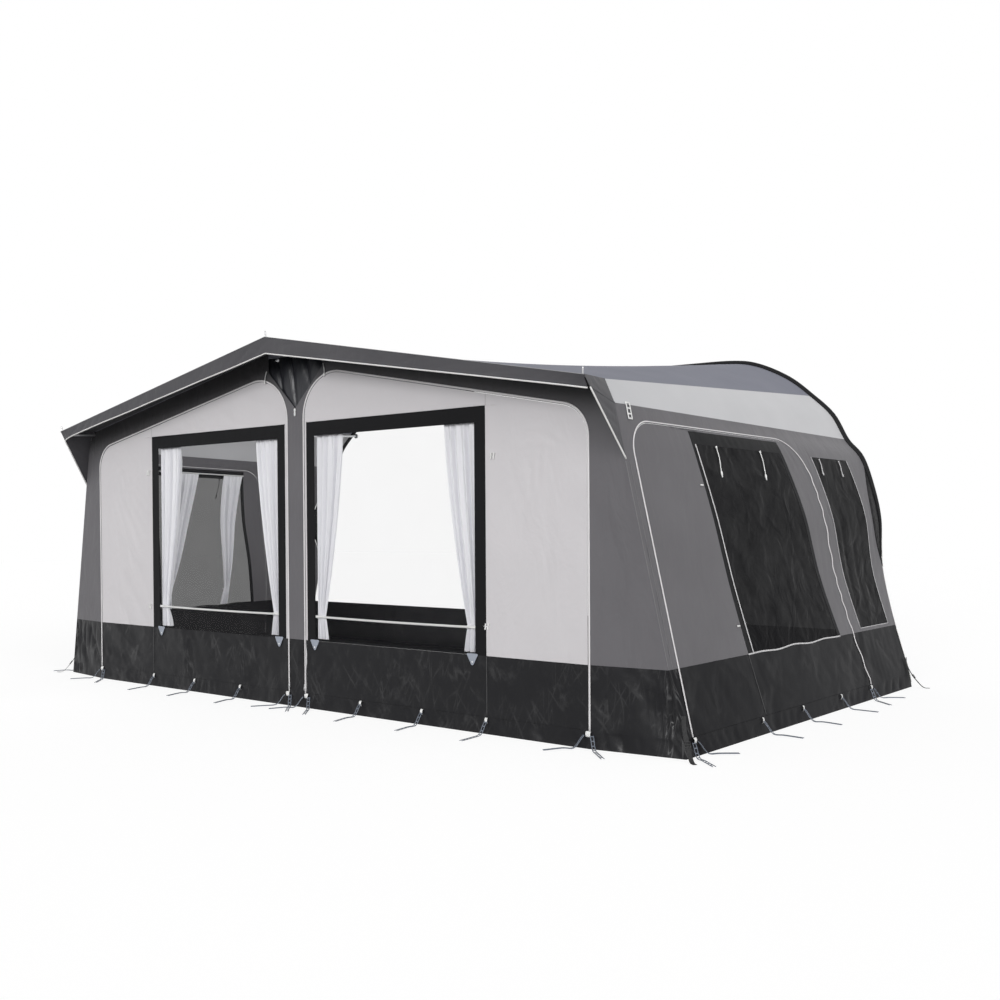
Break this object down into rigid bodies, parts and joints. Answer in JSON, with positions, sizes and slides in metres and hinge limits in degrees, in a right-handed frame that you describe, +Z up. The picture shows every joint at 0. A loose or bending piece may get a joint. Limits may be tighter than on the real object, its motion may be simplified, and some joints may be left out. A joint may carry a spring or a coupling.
{
  "type": "caravan awning",
  "caption": "Full caravan awning: ridged canvas roof with dark visor, zip-out panels with clear windows and curtains, mudwalls, draught pads and a telescopic pole frame.",
  "frame": {"origin": "on the ground, under the middle of the awning's overall box", "axes": "+X along the front, to the right seen from the front; +Y from the front wall towards the caravan rail; +Z up"},
  "size_m": [6.4096, 3.2592, 2.4514],
  "materials": {
    "roof_canvas": "coated woven canvas, light grey",
    "grey_canvas": "coated woven canvas, mid grey",
    "visor_canvas": "coated woven canvas, dark grey",
    "light_canvas": "coated woven canvas, pale warm grey",
    "dark_pvc": "PVC coated cloth, near black, satin",
    "window_film": "clear flexible film",
    "vent_net": "fine insect net",
    "quilted_pad": "quilted coated cloth, black, glossy",
    "curtain_satin": "white satin",
    "white_plastic": "white moulded plastic",
    "pole_aluminium": "drawn tube, satin",
    "black_plastic": "black moulded plastic",
    "peg_ladder": "moulded blue-grey ladder strap",
    "webbing": "black woven webbing",
    "piping": "white piping and zip tape"
  },
  "bodies": {
    "awning": {"roof": "roof_canvas", "front_wall": "grey_canvas", "side_wall_left": "grey_canvas", "side_wall_right": "grey_canvas", "visor": "visor_canvas", "visor_gusset_left": "visor_canvas", "visor_gusset_right": "visor_canvas", "mudwall_front": "dark_pvc", "mudwall_left": "dark_pvc", "mudwall_right": "dark_pvc", "draught_skirt": "dark_pvc", "rear_window_left": "window_film", "rear_window_right": "window_film", "vent_net": "vent_net", "draught_pad_left": "quilted_pad", "draught_pad_right": "quilted_pad", "rail_bead": "white_plastic", "apex_bracket": "black_plastic", "centre_upright": "pole_aluminium", "corner_upright_left": "pole_aluminium", "corner_upright_right": "pole_aluminium", "ridge_pole": "pole_aluminium", "roof_pole_left": "pole_aluminium", "roof_pole_right": "pole_aluminium", "gable_pole_left": "pole_aluminium", "gable_pole_right": "pole_aluminium"},
    "front_door_left": {"front_panel_left": "light_canvas", "front_window_surround_left": "dark_pvc", "front_window_left": "window_film", "window_rod_left": "white_plastic"},
    "front_door_right": {"front_panel_right": "light_canvas", "front_window_surround_right": "dark_pvc", "front_window_right": "window_film", "window_rod_right": "white_plastic"},
    "side_door_left": {"side_panel_left": "grey_canvas", "side_window_surround_left": "dark_pvc", "side_window_left": "window_film"},
    "side_door_right": {"side_panel_right": "grey_canvas", "side_window_surround_right": "dark_pvc", "side_window_right": "window_film"},
    "curtain_inner_left": {"curtain_inner_left": "curtain_satin"},
    "curtain_outer_left": {"curtain_outer_left": "curtain_satin"},
    "curtain_inner_right": {"curtain_inner_right": "curtain_satin"},
    "curtain_outer_right": {"curtain_outer_right": "curtain_satin"},
    "side_curtain_front": {"side_curtain_front": "curtain_satin"},
    "side_curtain_rear": {"side_curtain_rear": "curtain_satin"},
    "centre_upright_foot_tube": {"centre_upright_foot_tube": "pole_aluminium"},
    "centre_upright_collar": {"centre_upright_collar": "black_plastic"},
    "corner_upright_left_foot_tube": {"corner_upright_left_foot_tube": "pole_aluminium"},
    "corner_upright_left_collar": {"corner_upright_left_collar": "black_plastic"},
    "corner_upright_right_foot_tube": {"corner_upright_right_foot_tube": "pole_aluminium"},
    "corner_upright_right_collar": {"corner_upright_right_collar": "black_plastic"},
    "ridge_pole_inner_tube": {"ridge_pole_inner_tube": "pole_aluminium"},
    "ridge_pole_collar": {"ridge_pole_collar": "black_plastic"},
    "roof_pole_left_inner_tube": {"roof_pole_left_inner_tube": "pole_aluminium"},
    "roof_pole_left_collar": {"roof_pole_left_collar": "black_plastic"},
    "roof_pole_right_inner_tube": {"roof_pole_right_inner_tube": "pole_aluminium"},
    "roof_pole_right_collar": {"roof_pole_right_collar": "black_plastic"},
    "zip_slider_left": {"zip_slider_left": "white_plastic"},
    "zip_slider_right": {"zip_slider_right": "white_plastic"}
  },
  "joints": [
    {"name": "front_door_swing_left", "type": "hinge", "parent": "awning", "child": "front_door_left", "pos_m": [-2.177, -1.37965, 0.095], "axis": [0, 0, -1], "range_deg": [0, 90]},
    {"name": "front_door_swing_right", "type": "hinge", "parent": "awning", "child": "front_door_right", "pos_m": [2.177, -1.37965, 0.095], "axis": [0, 0, 1], "range_deg": [0, 90]},
    {"name": "side_door_swing_left", "type": "hinge", "parent": "awning", "child": "side_door_left", "pos_m": [-2.69147, -1.21811, 0.095], "axis": [0.2013, -0.0356, 0.9789], "range_deg": [0, 90]},
    {"name": "side_door_swing_right", "type": "hinge", "parent": "awning", "child": "side_door_right", "pos_m": [2.69147, -1.21811, 0.095], "axis": [0.2013, 0.0356, -0.9789], "range_deg": [0, 90]},
    {"name": "curtain_inner_left_draw", "type": "slide", "parent": "front_door_left", "child": "curtain_inner_left", "axis": [-1, 0, 0], "range_m": [0, 0.4]},
    {"name": "curtain_outer_left_draw", "type": "slide", "parent": "front_door_left", "child": "curtain_outer_left", "axis": [1, 0, 0], "range_m": [0, 0.4]},
    {"name": "curtain_inner_right_draw", "type": "slide", "parent": "front_door_right", "child": "curtain_inner_right", "axis": [1, 0, 0], "range_m": [0, 0.4]},
    {"name": "curtain_outer_right_draw", "type": "slide", "parent": "front_door_right", "child": "curtain_outer_right", "axis": [-1, 0, 0], "range_m": [0, 0.4]},
    {"name": "side_curtain_front_draw", "type": "slide", "parent": "side_door_left", "child": "side_curtain_front", "axis": [-0.1381, 0.9904, 0], "range_m": [0, 0.13]},
    {"name": "side_curtain_rear_draw", "type": "slide", "parent": "side_door_left", "child": "side_curtain_rear", "axis": [0.1381, -0.9904, 0], "range_m": [0, 0.13]},
    {"name": "centre_upright_height", "type": "slide", "parent": "awning", "child": "centre_upright_foot_tube", "axis": [0, 0, 1], "range_m": [0, 0.3]},
    {"name": "centre_upright_collar_twist", "type": "hinge", "parent": "awning", "child": "centre_upright_collar", "pos_m": [0, -1.34635, 1.05], "axis": [0, 0, 1], "range_deg": [0, 90]},
    {"name": "corner_upright_left_height", "type": "slide", "parent": "awning", "child": "corner_upright_left_foot_tube", "axis": [0.2117, -0.0429, 0.9764], "range_m": [0, 0.3]},
    {"name": "corner_upright_left_collar_twist", "type": "hinge", "parent": "awning", "child": "corner_upright_left_collar", "pos_m": [-2.42474, -1.31167, 1.02522], "axis": [0.2117, -0.0429, 0.9764], "range_deg": [0, 90]},
    {"name": "corner_upright_right_height", "type": "slide", "parent": "awning", "child": "corner_upright_right_foot_tube", "axis": [-0.2117, -0.0429, 0.9764], "range_m": [0, 0.3]},
    {"name": "corner_upright_right_collar_twist", "type": "hinge", "parent": "awning", "child": "corner_upright_right_collar", "pos_m": [2.42474, -1.31167, 1.02522], "axis": [-0.2117, -0.0429, 0.9764], "range_deg": [0, 90]},
    {"name": "ridge_pole_reach", "type": "slide", "parent": "awning", "child": "ridge_pole_inner_tube", "axis": [0, -0.9996, -0.0267], "range_m": [0, 0.3]},
    {"name": "ridge_pole_collar_twist", "type": "hinge", "parent": "awning", "child": "ridge_pole_collar", "pos_m": [0, 0.3668, 2.38363], "axis": [0, -0.9996, -0.0267], "range_deg": [0, 90]},
    {"name": "roof_pole_left_reach", "type": "slide", "parent": "awning", "child": "roof_pole_left_inner_tube", "axis": [0.0263, -0.9972, -0.0697], "range_m": [0, 0.3]},
    {"name": "roof_pole_left_collar_twist", "type": "hinge", "parent": "awning", "child": "roof_pole_left_collar", "pos_m": [-2.29963, 0.36983, 2.01382], "axis": [0.0263, -0.9972, -0.0697], "range_deg": [0, 90]},
    {"name": "roof_pole_right_reach", "type": "slide", "parent": "awning", "child": "roof_pole_right_inner_tube", "axis": [-0.0263, -0.9972, -0.0697], "range_m": [0, 0.3]},
    {"name": "roof_pole_right_collar_twist", "type": "hinge", "parent": "awning", "child": "roof_pole_right_collar", "pos_m": [2.29963, 0.36983, 2.01382], "axis": [-0.0263, -0.9972, -0.0697], "range_deg": [0, 90]},
    {"name": "zip_run_left", "type": "slide", "parent": "awning", "child": "zip_slider_left", "axis": [0, 0, 1], "range_m": [0, 1.75]},
    {"name": "zip_run_right", "type": "slide", "parent": "awning", "child": "zip_slider_right", "axis": [0, 0, 1], "range_m": [0, 1.75]}
  ]
}
